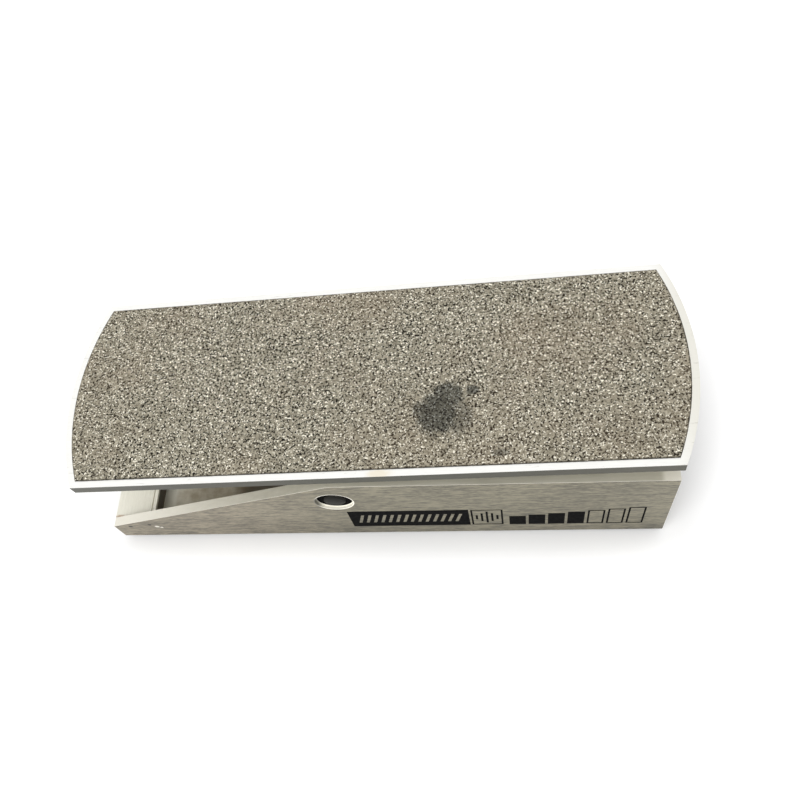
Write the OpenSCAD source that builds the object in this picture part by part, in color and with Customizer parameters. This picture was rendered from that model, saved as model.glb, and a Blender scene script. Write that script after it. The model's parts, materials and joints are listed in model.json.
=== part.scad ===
// Rocker volume pedal: a rubber-footed aluminium channel carries a grit-covered treadle on a cross shaft.
// The treadle turns a potentiometer through a cord that is wound once round the potentiometer's shaft.
// Origin: centre of the outline, on the floor. +X points to the heel, -X to the toe, +Z up.

/* [Base] */
// Length of the base from the pivot to its toe end
base_toe = 105; // [100:1:110]
// Length of the base from the pivot to its heel end
base_heel = 132; // [128:1:140]
// Outer width of the base
base_w = 88; // [86:0.5:92]
// Height of the side walls behind the pivot
base_h = 52.6; // [51:0.2:53]
// Height of the side walls at the toe end
front_h = 12.1; // [12:0.1:12.4]
// Thickness of the side walls
wall_t = 4.2; // [3.8:0.1:4.6]
// Thickness of the floor web
web_t = 4.7; // [4:0.1:4.8]
// Radius of the knee above the pivot, where the wall top starts to slope
knee_r = 10; // [4:1:14]

/* [Treadle] */
// Width of the treadle plate
plate_w = 87; // [84:0.5:88]
// Thickness of the treadle plate
plate_t = 4.9; // [4.5:0.1:5.5]
// Reach of the treadle from the pivot to the toe
toe_reach = 112; // [108:1:116]
// Reach of the treadle from the pivot to the heel
heel_reach = 142; // [138:1:146]
// Radius of the two curved ends
end_r = 110.6; // [90:0.2:140]
// Bare metal rim left round the grip tape
tape_margin = 2.8; // [2:0.1:5]
// Thickness of the grip tape
tape_t = 0.7; // [0.5:0.1:1]
// Height of the treadle's underside above the pivot
rise = 18.4; // [18.2:0.1:19]
// Tilt of the treadle as drawn, heel up, above its heel-down stop
rest_tilt = 2.3; // [0:0.1:10]
// Tilt of the treadle at its toe-down stop
toe_tilt = 20.5; // [18:0.1:20.5]

/* [Pivot] */
// Height of the pivot above the underside of the base
pivot_h = 36.8; // [36:0.2:38]
// Diameter of the pivot shaft
shaft_d = 8.8; // [8:0.1:9]
// Diameter of the shallow round recess in each side wall
wall_hole_d = 15.6; // [15:0.1:17.5]
// Depth of that recess, and of the bushing's face, below the wall's outer face
bush_recess = 1.2; // [1:0.1:2.2]
// Diameter of each bushing where it passes through the wall
bush_d = 14.4; // [13:0.1:14.6]
// Offset of the recess from the shaft, toward the toe
recess_shift = 0.2; // [0:0.1:0.5]

/* [Jacks] */
// Bore for a 6.35 mm plug
jack_bore_d = 6.5; // [6.4:0.05:6.6]
// Distance of each jack from the middle of the base
jack_y = 17; // [16:0.5:18]
// Height of the jacks above the underside of the base
jack_h = 6.7; // [6.6:0.1:6.8]

/* [Feet] */
// Height of the rubber feet
foot_h = 2.5; // [2.2:0.1:4]
// Diameter of the rubber feet
foot_d = 18; // [12:1:20]

/* [Hidden] */
$fn = 96;

// Clearances: a running fit, a fixed fit and a tiny drawing overlap for cuts
run_gap = 0.05;
seat_gap = 0.05;
cut = 1;

// The outline's centre is the origin, so the pivot stands off it by the treadle's uneven reach
heel_x = heel_reach * cos(rest_tilt) - rise * sin(rest_tilt);
toe_x = -toe_reach * cos(rest_tilt) - (rise + plate_t) * sin(rest_tilt);
pivot_x = -(heel_x + toe_x) / 2;

// Base
knee_x = 0.5;
slope = atan2(base_h - front_h, base_toe + knee_x);
knee_reach = knee_r * tan(slope / 2);
inner_half = base_w / 2 - wall_t;
bar_len = 18;
bar_floor = 1.2;
bar_side_gap = 0.15;
bar_rear = -base_toe + bar_len;
jack_pocket_end = -64;
jack_pocket_half = 6;

// Jacks: threaded bushing through the bar, then a wider body behind a shoulder, then solder lugs
jack_thread_r = 4.7;
jack_body_r = 4.9;
jack_mouth = -109.5;
jack_shoulder = -96.9;
jack_rear = -66;
jack_bore_end = -77.5;
jack_washer_t = 0.8;
jack_nut_t = 2.1;

// Pivot, from the wall inwards: bushing flange, friction washer, lug
bush_flange_t = 1.5;
bush_flange_r = 11;
bush_face = inner_half - bush_flange_t;
thrust_gap = 0.1;
washer_t = 1.1;
washer_r = 9;
lug_face = bush_face - thrust_gap - washer_t;
lug_t = 5;
lug_r = 10;
lug_flange_t = 4;
lug_half_len = 17;
lug_inner = 15;
shaft_r = shaft_d / 2;
shaft_end = base_w / 2 - 0.2;

// Cord drive
sector_t = 2.5;
rim_r = 42.5;
cheek_r = 43.5;
cord_r = 0.35;
cord_path_r = rim_r + cord_r + seat_gap;
sector_low = -42;
sector_high = -4;
sector_inner_r = 35;
arm_r = 37;
arm_low = -24;
arm_high = -7;
groove_w = 1.3;
pot_shaft_r = 3.175;
wrap_path_r = pot_shaft_r + cord_r + seat_gap;
wrap_gap = 0.2;
pot_reach = cord_path_r + 2 * cord_r + wrap_gap + wrap_path_r;
pot_angle = -16;
pot_x = pot_reach * cos(pot_angle);
pot_z = pivot_h + pot_reach * sin(pot_angle);
pot_r = 12;
pot_body_y = 10;
pot_body_t = 10;
bracket_t = 2;
bracket_half = 12.5;
bracket_depth = 16;
bush_thread_r = 4.7;

// Stops
post_x = 104;
post_y = 28;
post_r = 6;
bumper_gap = 0.2;
toe_bumper_r = 7;
toe_bumper_x = -base_toe + bar_len / 2;
toe_bumper_y = 10;

// Fasteners
m3_r = 1.5;
m4_r = 2;
head_h = 1.8;
csk_h = 2;
socket_depth = 0.9;
lug_screw_x = 11;
lug_screw_y = 23;
sector_screw_x = [28, 40];
sector_screw_y = 7;
bar_screw_x = bar_rear - 5;
bar_screw_y = 8;
bracket_screw_x = 8;
bracket_screw_y = 19;

// Board
board_x = [-85.5, -62];
board_half = 20;
board_z = 13.2;
board_t = 1.2;
standoff_x = [-77, -66];

// Taper switch: its threaded neck, the wall that holds it, and its lever's throw and pivot
switch_thread_r = 2.9;
switch_wall = [-97, -95];
lever_throw = 12.5;
lever_pivot = -99.4;
lever_pin_r = 0.5;

// Cord ends: the anchor screws' places on the sector, and the spring between the cord and the lower one
anchor_r = 1;
upper_anchor = [38.5, 4];
lower_anchor = [31.5, -6.5];
cord_side_y = 2.2;
spring_y = 3.9;
spring_r = 1.4;
spring_wire_r = 0.3;
spring_turns = 14;
spring_from = [27.4, -22.8];
spring_to = [31.1, -8.8];

// Route of the wiring loom along the floor web, from the board to the potentiometer's lugs
loom_r = 1.5;
loom_route = [
    [-62, 9, 16.4], [-58, 9, 16], [-55, 9.3, 13.5], [-52.5, 9.8, 10], [-49, 10.6, 7.4],
    [-43, 11.8, 6.5], [-34, 13, 6.4], [-24, 14.2, 6.4], [-14, 15.2, 6.4], [-4, 15.8, 6.4],
    [6, 16, 6.4], [15, 16, 6.6], [21, 15.6, 7.6], [25.5, 15, 9.6], [28.5, 14.2, 12.6],
    [30.2, 13.4, 15.8], [31, 12.6, 19]
];

// --- helpers -----------------------------------------------------------------------------

// Places its children in the base's frame: x from the pivot, z from the underside of the base
module base_frame() {
    translate([pivot_x, 0, foot_h]) children();
}

// Places its children in the treadle's frame: origin on the pivot, x along the plate
module treadle_frame() {
    translate([pivot_x, 0, foot_h + pivot_h]) rotate([0, -rest_tilt, 0]) children();
}

// A disc or rod about an axis along Y, between y0 and y1 in either order
module y_rod(r, y0, y1) {
    translate([0, min(y0, y1), 0]) rotate([-90, 0, 0]) cylinder(r = r, h = abs(y1 - y0));
}

// A disc or rod about an axis along X, from x0 to x1
module x_rod(r, x0, x1) {
    translate([x0, 0, 0]) rotate([0, 90, 0]) cylinder(r = r, h = x1 - x0);
}

// A hexagon nut about an axis along X, with its flats up and down
module x_hex(across_flats, x0, x1) {
    translate([x0, 0, 0]) rotate([0, 90, 0]) rotate([0, 0, 30])
        cylinder(r = across_flats / sqrt(3), h = x1 - x0, $fn = 6);
}

// A screw from below: a low head with a hex socket under the base, and a shank up to z1
module floor_screw(r, z1) {
    difference() {
        union() {
            translate([0, 0, -head_h]) cylinder(r = r * 1.8, h = head_h);
            translate([0, 0, -0.5]) cylinder(r = r, h = z1 + 0.5);
        }
        translate([0, 0, -head_h - cut]) cylinder(r = r * 0.75, h = socket_depth + cut, $fn = 6);
    }
}

// A countersunk screw whose flat head is level with the treadle's top
module plate_screw(r, z0) {
    top = rise + plate_t;
    difference() {
        union() {
            translate([0, 0, top - csk_h]) cylinder(r1 = r, r2 = r + csk_h, h = csk_h);
            translate([0, 0, z0]) cylinder(r = r, h = top - csk_h - z0);
        }
        translate([0, 0, top - socket_depth]) cylinder(r = r * 0.7, h = socket_depth + cut, $fn = 6);
    }
}

// The hole for that screw through the treadle plate
module plate_screw_hole(r) {
    top = rise + plate_t;
    translate([0, 0, top - csk_h]) cylinder(r1 = r + seat_gap, r2 = r + csk_h + seat_gap, h = csk_h);
    translate([0, 0, top - 0.01]) cylinder(r = r + csk_h + seat_gap, h = cut);
    translate([0, 0, rise - cut]) cylinder(r = r + seat_gap, h = plate_t + cut);
}

// The treadle's plan: straight sides and two shallow arcs, drawn in by a margin
module treadle_outline(margin) {
    half = plate_w / 2 - margin;
    r = end_r - margin;
    shoulder = sqrt(r * r - half * half);
    heel_c = heel_reach - end_r;
    toe_c = end_r - toe_reach;
    translate([toe_c - shoulder, -half]) square([heel_c - toe_c + 2 * shoulder, 2 * half]);
    intersection() {
        translate([heel_c, 0]) circle(r = r, $fn = 360);
        translate([heel_c + shoulder - 1, -half]) square([r, 2 * half]);
    }
    intersection() {
        translate([toe_c, 0]) circle(r = r, $fn = 360);
        translate([toe_c - shoulder + 1 - r, -half]) square([r, 2 * half]);
    }
}

// The side wall's outline: low at the toe, sloping up to a rounded knee, then level
module wall_outline() {
    polygon([
        [-base_toe, 0],
        [base_heel, 0],
        [base_heel, base_h],
        [knee_x + knee_reach, base_h],
        [knee_x - knee_reach * cos(slope), base_h - knee_reach * sin(slope)],
        [-base_toe, front_h]
    ]);
    translate([knee_x + knee_reach, base_h - knee_r]) circle(r = knee_r, $fn = 180);
}

// Ring of points round one point of a route, square to its direction
function route_dir(p, i) =
    let(a = p[max(i - 1, 0)], b = p[min(i + 1, len(p) - 1)], d = b - a) d / norm(d);
function route_side(d) = let(s = cross(d, [0, 0, 1])) norm(s) < 0.01 ? [0, 1, 0] : s / norm(s);
function route_ring(p, i, r, n) =
    let(d = route_dir(p, i), s = route_side(d), u = cross(s, d))
    [for (k = [0:n - 1]) p[i] + r * (cos(360 * k / n) * s + sin(360 * k / n) * u)];

// A tube along a route of points
module route_tube(p, r, n) {
    m = len(p);
    rings = [for (i = [0:m - 1]) each route_ring(p, i, r, n)];
    sides = [for (i = [0:m - 2]) for (k = [0:n - 1])
        [i * n + k, i * n + (k + 1) % n, (i + 1) * n + (k + 1) % n, (i + 1) * n + k]];
    first = [for (k = [0:n - 1]) n - 1 - k];
    last = [for (k = [0:n - 1]) (m - 1) * n + k];
    polyhedron(points = rings, faces = concat([first], sides, [last]));
}

// --- base --------------------------------------------------------------------------------

module base_channel() {
    color("#b9b4a8") base_frame() difference() {
        union() {
            for (y = [-base_w / 2, inner_half])
                translate([0, y + wall_t, 0]) rotate([90, 0, 0]) linear_extrude(wall_t) wall_outline();
            translate([-base_toe, -inner_half - 1, 0])
                cube([base_toe + base_heel, 2 * inner_half + 2, web_t]);
        }
        translate([0, 0, pivot_h]) y_rod(bush_d / 2 + seat_gap, -base_w, base_w);
        for (side = [-1, 1]) translate([-recess_shift, 0, pivot_h])
            y_rod(wall_hole_d / 2, side * (base_w / 2 - bush_recess), side * base_w);
        translate([-base_toe - cut, -inner_half, bar_floor]) cube([bar_len + cut, 2 * inner_half, web_t]);
        for (side = [-1, 1])
            translate([bar_rear - cut, side * jack_y - jack_pocket_half, bar_floor])
                cube([jack_pocket_end - bar_rear + cut, 2 * jack_pocket_half, web_t]);
        for (side = [-1, 1])
            translate([bar_screw_x, side * bar_screw_y, -cut]) cylinder(r = m3_r + seat_gap, h = 10);
        for (side = [-1, 1])
            translate([pot_x + side * bracket_screw_x, bracket_screw_y, -cut])
                cylinder(r = m3_r + seat_gap, h = 10);
        for (side = [-1, 1])
            translate([post_x, side * post_y, -cut]) cylinder(r = m4_r + seat_gap, h = 10);
    }
}

module rubber_feet() {
    color("#2b2b2a") base_frame()
        for (x = [-90, 121], y = [-34, 34])
            translate([x, y, -foot_h]) cylinder(r = foot_d / 2, h = foot_h);
}

module jack_bar() {
    half = inner_half - bar_side_gap;
    color("#d8d3c6") base_frame() difference() {
        translate([-base_toe, -half, bar_floor]) cube([bar_len, 2 * half, front_h - bar_floor]);
        for (side = [-1, 1]) translate([0, side * jack_y, jack_h]) {
            x_rod(jack_thread_r + seat_gap, -base_toe - cut, bar_rear + cut);
            x_rod(jack_body_r + seat_gap, jack_shoulder - 0.1, bar_rear + cut);
        }
        translate([0, 0, jack_h]) {
            x_rod(5.1, -base_toe - cut, switch_wall[0]);
            x_rod(switch_thread_r + seat_gap, switch_wall[0] - cut, switch_wall[1] + cut);
            translate([switch_wall[1], -4.2, -4.6]) cube([bar_len, 8.4, 9.2]);
        }
        for (side = [-1, 1])
            translate([bar_screw_x, side * bar_screw_y, -cut]) cylinder(r = m3_r + seat_gap, h = 9.6);
        translate([bar_rear - 2, -base_w, front_h - 0.4]) cube([0.5, 2 * base_w, cut]);
    }
}

module bar_screws() {
    color("#8d8c88") base_frame()
        for (side = [-1, 1]) translate([bar_screw_x, side * bar_screw_y, 0]) floor_screw(m3_r, 8.2);
}

// A barrel jack: threaded bushing through the bar, body behind it, solder lugs and board pins
module jack(side) {
    base_frame() translate([0, side * jack_y, jack_h]) difference() {
        union() {
            x_rod(jack_thread_r, jack_mouth, jack_shoulder);
            x_rod(jack_body_r, jack_shoulder, jack_rear);
            for (dy = [-2.5, 2.5]) translate([jack_rear - 0.5, dy - 1, -0.4]) cube([4.5, 2, 0.8]);
            for (x = [-80, -70]) translate([x, -0.5, 4]) cube([1, 1, board_z - jack_h - 4]);
        }
        x_rod(jack_bore_d / 2, jack_mouth - cut, jack_bore_end);
        x_rod(2, jack_bore_end - 0.5, jack_bore_end + 5.5);
    }
}

module input_jack() {
    color("#3a3a3a") jack(1);
}

module output_jack() {
    color("#3a3a3a") jack(-1);
}

module jack_washers() {
    color("#c9c8c4") base_frame()
        for (side = [-1, 1]) translate([0, side * jack_y, jack_h]) difference() {
            x_rod(5.4, -base_toe - jack_washer_t, -base_toe);
            x_rod(jack_thread_r + seat_gap, -base_toe - 2, -base_toe + cut);
        }
}

module jack_nuts() {
    color("#cfcfcc") base_frame()
        for (side = [-1, 1]) translate([0, side * jack_y, jack_h]) difference() {
            x_hex(10.8, -base_toe - jack_washer_t - jack_nut_t, -base_toe - jack_washer_t);
            x_rod(jack_thread_r + seat_gap, -base_toe - 4, -base_toe + cut);
        }
}

module taper_switch() {
    color("#4a4a48") base_frame() translate([0, 0, jack_h]) difference() {
        union() {
            translate([-94.95, -4, -4.4]) cube([7.9, 8, 8.8]);
            x_rod(switch_thread_r, -100.5, switch_wall[1] + 0.1);
            for (dy = [-2.5, 0, 2.5]) translate([-87.5, dy - 0.4, -0.6]) cube([3.5, 0.8, 1.2]);
        }
        x_rod(2.2, -101.5, -95.2);
        translate([lever_pivot, 0, -4]) cylinder(r = lever_pin_r + run_gap, h = 8);
    }
}

module switch_nut() {
    color("#cfcfcc") base_frame() translate([0, 0, jack_h]) difference() {
        x_hex(7.6, switch_wall[0] - 1.7, switch_wall[0]);
        x_rod(switch_thread_r + seat_gap, switch_wall[0] - 3, switch_wall[0] + cut);
    }
}

// The toggle lever, drawn at one of its two throws, on a cross pin that turns in the switch's bushing
module switch_lever() {
    color("#d9d9d6") base_frame() translate([lever_pivot, 0, jack_h]) rotate([0, 0, -lever_throw]) {
        translate([0, 0, -2.7]) cylinder(r = lever_pin_r, h = 5.4);
        sphere(r = 1.7);
        x_rod(0.9, -8.2, 0);
        x_rod(1.25, -8.4, -4.6);
        translate([-8.4, 0, 0]) sphere(r = 1.25);
    }
}

module circuit_board() {
    color("#2f5a3a") base_frame() difference() {
        translate([board_x[0], -board_half, board_z])
            cube([board_x[1] - board_x[0], 2 * board_half, board_t]);
        for (x = standoff_x) translate([x, 0, 0]) cylinder(r = 1.3, h = 30);
    }
}

module board_standoffs() {
    color("#c8b06a") base_frame()
        for (x = standoff_x) translate([x, 0, web_t]) difference() {
            cylinder(r = 2.8, h = board_z - web_t, $fn = 6);
            translate([0, 0, 3]) cylinder(r = 1.3, h = 20);
        }
}

module board_screws() {
    color("#8d8c88") base_frame()
        for (x = standoff_x) translate([x, 0, 0]) difference() {
            union() {
                translate([0, 0, board_z + board_t]) cylinder(r = 2.3, h = 1.5);
                translate([0, 0, board_z - 4]) cylinder(r = 1.25, h = board_t + 4.5);
            }
            translate([-3, -0.3, board_z + board_t + 0.9]) cube([6, 0.6, 2]);
        }
}

module loom_connector() {
    color("#e4e0d2") base_frame() translate([-66.5, 5, board_z + board_t]) cube([4.2, 8, 4]);
}

module wire_loom() {
    color("#26262a") base_frame() route_tube(loom_route, loom_r, 12);
}

// --- potentiometer -------------------------------------------------------------------------

module pot_bracket() {
    color("#a9a8a2") base_frame() difference() {
        union() {
            translate([pot_x - bracket_half, pot_body_y - bracket_t, web_t])
                cube([2 * bracket_half, bracket_t, pot_z - web_t]);
            translate([pot_x, 0, pot_z]) y_rod(bracket_half, pot_body_y - bracket_t, pot_body_y);
            translate([pot_x - bracket_half, pot_body_y - bracket_t, web_t])
                cube([2 * bracket_half, bracket_depth, bracket_t]);
        }
        translate([pot_x, 0, pot_z]) y_rod(bush_thread_r + seat_gap, 0, 20);
        for (side = [-1, 1])
            translate([pot_x + side * bracket_screw_x, bracket_screw_y, 0])
                cylinder(r = m3_r + seat_gap, h = 10);
    }
}

module bracket_screws() {
    color("#8d8c88") base_frame()
        for (side = [-1, 1])
            translate([pot_x + side * bracket_screw_x, bracket_screw_y, 0]) floor_screw(m3_r, 7.6);
}

module potentiometer() {
    color("#8f8d86") base_frame() translate([pot_x, 0, pot_z]) difference() {
        union() {
            y_rod(pot_r, pot_body_y, pot_body_y + pot_body_t);
            y_rod(bush_thread_r, 3.5, pot_body_y + 1);
            for (z = [-3.2, 0, 3.2]) translate([-15.5, 11, z - 1]) cube([5, 0.8, 2]);
        }
        y_rod(pot_shaft_r + run_gap, 0, pot_body_y + 7);
    }
}

module pot_washer() {
    color("#c9c8c4") base_frame() translate([pot_x, 0, pot_z]) difference() {
        y_rod(6.6, 7.3, pot_body_y - bracket_t);
        y_rod(bush_thread_r + seat_gap, 0, 20);
    }
}

module pot_nut() {
    color("#cfcfcc") base_frame() translate([pot_x, 0, pot_z]) difference() {
        translate([0, 5.1, 0]) rotate([-90, 0, 0]) cylinder(r = 12.6 / sqrt(3), h = 2.2, $fn = 6);
        y_rod(bush_thread_r + seat_gap, 0, 20);
    }
}

// The potentiometer's shaft, with a driver slot in its free end
module pot_shaft() {
    color("#c4c3bd") base_frame() translate([pot_x, 0, pot_z]) difference() {
        y_rod(pot_shaft_r, -9, pot_body_y + 6.5);
        translate([-5, -10, -0.6]) cube([10, 2.2, 1.2]);
    }
}

module shaft_collar() {
    color("#b8923a") base_frame() translate([pot_x, 0, pot_z]) difference() {
        y_rod(5.2, -7, -2.6);
        y_rod(pot_shaft_r + seat_gap, -10, 0);
        translate([0, -4.8, 0]) cylinder(r = 1.3, h = 10);
    }
}

module collar_screw() {
    color("#33332f") base_frame() translate([pot_x, -4.8, pot_z]) difference() {
        translate([0, 0, pot_shaft_r + seat_gap]) cylinder(r = 1.25, h = 1.9);
        translate([0, 0, pot_shaft_r + 1]) cylinder(r = 0.7, h = 3, $fn = 6);
    }
}

module cord_wrap() {
    color("#ece8da") base_frame() translate([pot_x, 0, pot_z]) rotate([90, 0, 0])
        rotate_extrude($fn = 72) translate([wrap_path_r, 0]) circle(r = cord_r, $fn = 24);
}

// --- pivot and stops -----------------------------------------------------------------------

module bushing(side) {
    outer = base_w / 2 - bush_recess;
    base_frame() translate([0, 0, pivot_h]) difference() {
        union() {
            y_rod(bush_flange_r, side * bush_face, side * inner_half);
            y_rod(bush_d / 2, side * bush_face, side * outer);
        }
        y_rod(shaft_r + run_gap, -base_w, base_w);
    }
}

module left_bushing() {
    color("#161616") bushing(-1);
}

module right_bushing() {
    color("#161616") bushing(1);
}

module heel_posts() {
    color("#b5b3ac") base_frame()
        for (side = [-1, 1]) translate([post_x, side * post_y, web_t]) difference() {
            cylinder(r = post_r, h = pivot_h + rise - bumper_gap - 6.4 - web_t);
            translate([0, 0, -cut]) cylinder(r = m4_r + seat_gap, h = 12);
        }
}

module post_screws() {
    color("#8d8c88") base_frame()
        for (side = [-1, 1]) translate([post_x, side * post_y, 0]) floor_screw(m4_r, 14);
}

// Domed rubber stops on the posts, just under the treadle when the heel is down
module heel_bumpers() {
    top = pivot_h + rise - bumper_gap;
    color("#2b2b2a") base_frame()
        for (side = [-1, 1]) translate([post_x, side * post_y, 0]) {
            translate([0, 0, top - 6.4]) cylinder(r = 6, h = 0.4);
            intersection() {
                translate([0, 0, top - 6]) sphere(r = 6);
                translate([0, 0, top]) cube([20, 20, 12], center = true);
            }
        }
}

// Domed rubber stops on the bar, just under the treadle when the toe is down
module toe_bumpers() {
    plane = rise - bumper_gap - toe_bumper_r + toe_bumper_x * sin(toe_tilt);
    centre_z = pivot_h + plane / cos(toe_tilt);
    color("#2b2b2a") base_frame()
        for (side = [-1, 1]) translate([toe_bumper_x, side * toe_bumper_y, 0]) intersection() {
            translate([0, 0, centre_z]) sphere(r = toe_bumper_r);
            translate([-10, -10, front_h]) cube(20);
        }
}

// --- treadle -------------------------------------------------------------------------------

module pivot_shaft() {
    color("#3b3a38") treadle_frame() union() {
        y_rod(shaft_r, -shaft_end + 0.4, shaft_end - 0.4);
        for (side = [-1, 1]) translate([0, side * (shaft_end - 0.2), 0]) rotate([-90 * side, 0, 0])
            translate([0, 0, -0.2]) cylinder(r1 = shaft_r, r2 = shaft_r - 0.4, h = 0.4);
    }
}

module friction_washers() {
    color("#e2dccb") treadle_frame()
        for (side = [-1, 1]) difference() {
            y_rod(washer_r, side * lug_face, side * (lug_face + washer_t));
            y_rod(shaft_r + run_gap, -base_w, base_w);
        }
}

// An angle lug: a flange screwed under the treadle and an ear that holds the shaft
module lug(side) {
    near = min(side * lug_face, side * (lug_face - lug_t));
    flange = min(side * lug_inner, side * lug_face);
    treadle_frame() difference() {
        union() {
            y_rod(lug_r, near, near + lug_t);
            translate([0, near + lug_t, 0]) rotate([90, 0, 0]) linear_extrude(lug_t) polygon([
                [-lug_half_len, rise], [-lug_half_len, rise - lug_flange_t],
                [0.8 - lug_r, -2], [lug_r - 0.8, -2],
                [lug_half_len, rise - lug_flange_t], [lug_half_len, rise]
            ]);
            translate([-lug_half_len, flange, rise - lug_flange_t])
                cube([2 * lug_half_len, lug_face - lug_inner, lug_flange_t]);
        }
        y_rod(shaft_r + 0.03, -base_w, base_w);
        for (x = [-lug_screw_x, lug_screw_x]) translate([x, side * lug_screw_y, 0])
            cylinder(r = m4_r + seat_gap, h = 30);
        translate([0, near + lug_t / 2, -20]) cylinder(r = m4_r + seat_gap, h = 20);
    }
}

module left_lug() {
    color("#a9a8a2") lug(-1);
}

module right_lug() {
    color("#a9a8a2") lug(1);
}

module lug_screws() {
    color("#8d8c88") treadle_frame()
        for (x = [-lug_screw_x, lug_screw_x], side = [-1, 1])
            translate([x, side * lug_screw_y, 0]) plate_screw(m4_r, rise - lug_flange_t);
}

module shaft_set_screws() {
    color("#33332f") treadle_frame()
        for (side = [-1, 1]) translate([0, side * (lug_face - lug_t / 2), 0]) difference() {
            translate([0, 0, -9.4]) cylinder(r = m4_r, h = 9.4 - shaft_r - seat_gap);
            translate([0, 0, -10.4]) cylinder(r = 1.1, h = 3, $fn = 6);
        }
}

module treadle_plate() {
    color("#cdcac0") treadle_frame() difference() {
        translate([0, 0, rise]) linear_extrude(plate_t) treadle_outline(0);
        for (x = [-lug_screw_x, lug_screw_x], side = [-1, 1])
            translate([x, side * lug_screw_y, 0]) plate_screw_hole(m4_r);
        for (x = sector_screw_x) translate([x, sector_screw_y, 0]) plate_screw_hole(m3_r);
    }
}

module grip_tape() {
    color("#8f8672") treadle_frame()
        translate([0, 0, rise + plate_t]) linear_extrude(tape_t) treadle_outline(tape_margin);
}

// --- cord drive ------------------------------------------------------------------------------

// Part of a flat ring about the pivot, between two radii and two angles
module ring_part(r0, r1, a0, a1) {
    far = 2 * r1;
    difference() {
        intersection() {
            circle(r = r1, $fn = 180);
            polygon([[0, 0], far * [cos(a0), sin(a0)], far * [cos(a1), sin(a1)]]);
        }
        circle(r = r0, $fn = 180);
    }
}

// An upright slab along Y that keeps its children's x and turns their y into z
module upright(y0, t) {
    translate([0, y0 + t, 0]) rotate([90, 0, 0]) linear_extrude(t) children();
}

// The sector: a slab with an arm up to the treadle, and two cheeks that leave a groove for the cord
module drive_sector() {
    cheek_t = (sector_t - groove_w) / 2;
    proud = 0.02;
    color("#a9a8a2") treadle_frame() difference() {
        union() {
            upright(-sector_t / 2, sector_t) difference() {
                union() {
                    ring_part(sector_inner_r, rim_r, sector_low, sector_high);
                    polygon([
                        [21, rise - 0.5], [45, rise - 0.5], [40.6, -0.6],
                        arm_r * [cos(arm_high), sin(arm_high)],
                        arm_r * [cos(arm_low), sin(arm_low)],
                        [30.2, -12]
                    ]);
                }
                for (p = [upper_anchor, lower_anchor]) translate(p) circle(r = anchor_r + seat_gap);
            }
            for (y = [-sector_t / 2 - proud, groove_w / 2])
                upright(y, cheek_t + proud)
                    ring_part(rim_r - 1.5, cheek_r, sector_low + 0.3, sector_high - 0.3);
            translate([20, -sector_t / 2 + 0.05, rise - 3]) cube([26, 13, 3]);
        }
        for (x = sector_screw_x) translate([x, sector_screw_y, 0]) cylinder(r = m3_r + seat_gap, h = 30);
    }
}

module sector_screws() {
    color("#8d8c88") treadle_frame()
        for (x = sector_screw_x) translate([x, sector_screw_y, 0]) plate_screw(m3_r, rise - 3);
}

// The cord lies on the sector's rim, and its two tails turn round the plate's ends to its side
module drive_cord() {
    rim = [for (a = [sector_high + 2:-2:sector_low - 2]) [cord_path_r * cos(a), 0, cord_path_r * sin(a)]];
    high_side = [
        [upper_anchor[0] + 1.4, cord_side_y, upper_anchor[1]],
        [upper_anchor[0] + 3.6, cord_side_y, upper_anchor[1] - 1.6]
    ];
    turn = sector_low - 4;
    low_side = [
        [(cord_path_r - 0.6) * cos(turn), cord_side_y, (cord_path_r - 0.6) * sin(turn)],
        [spring_from[0], spring_y, spring_from[1]]
    ];
    color("#ece8da") treadle_frame() route_tube(concat(high_side, rim, low_side), cord_r, 8);
}

// Pan-head screws through the sector that hold the cord's end and the spring's end
module cord_anchors() {
    color("#8d8c88") treadle_frame() {
        translate([upper_anchor[0], 0, upper_anchor[1]]) {
            y_rod(anchor_r, -2.2, 3);
            y_rod(2.2, 2.8, 4);
        }
        translate([lower_anchor[0], 0, lower_anchor[1]]) {
            y_rod(anchor_r, -2.2, 6);
            y_rod(2, 5.8, 7);
        }
    }
}

// A small extension spring that keeps the cord taut
module cord_spring() {
    steps = spring_turns * 10;
    start = [spring_from[0], spring_y, spring_from[1]];
    end = [spring_to[0], spring_y, spring_to[1]];
    along = end - start;
    across = cross(along / norm(along), [0, 1, 0]);
    coil = [for (i = [0:steps])
        let(a = 360 * spring_turns * i / steps)
        start + along * (0.04 + 0.92 * i / steps) + spring_r * (cos(a) * [0, 1, 0] + sin(a) * across)];
    color("#b8b7b2") treadle_frame() {
        route_tube(coil, spring_wire_r, 6);
    }
}

base_channel();
rubber_feet();
jack_bar();
bar_screws();
input_jack();
output_jack();
jack_nuts();
jack_washers();
taper_switch();
switch_nut();
switch_lever();
circuit_board();
board_standoffs();
board_screws();
loom_connector();
wire_loom();
pot_bracket();
bracket_screws();
potentiometer();
pot_washer();
pot_nut();
pot_shaft();
shaft_collar();
collar_screw();
cord_wrap();
left_bushing();
right_bushing();
heel_posts();
post_screws();
heel_bumpers();
toe_bumpers();
pivot_shaft();
friction_washers();
left_lug();
right_lug();
lug_screws();
shaft_set_screws();
treadle_plate();
grip_tape();
drive_sector();
sector_screws();
drive_cord();
cord_anchors();
cord_spring();
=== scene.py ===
"""Looks for a rocker volume pedal: brushed aluminium channel, bright-rimmed treadle, coarse grip tape.

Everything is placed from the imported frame. Lengths named _MM are millimetres; Blender works in metres.
"""

import json
import math

import bpy
from mathutils import Euler, Matrix, Vector, noise


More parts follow.
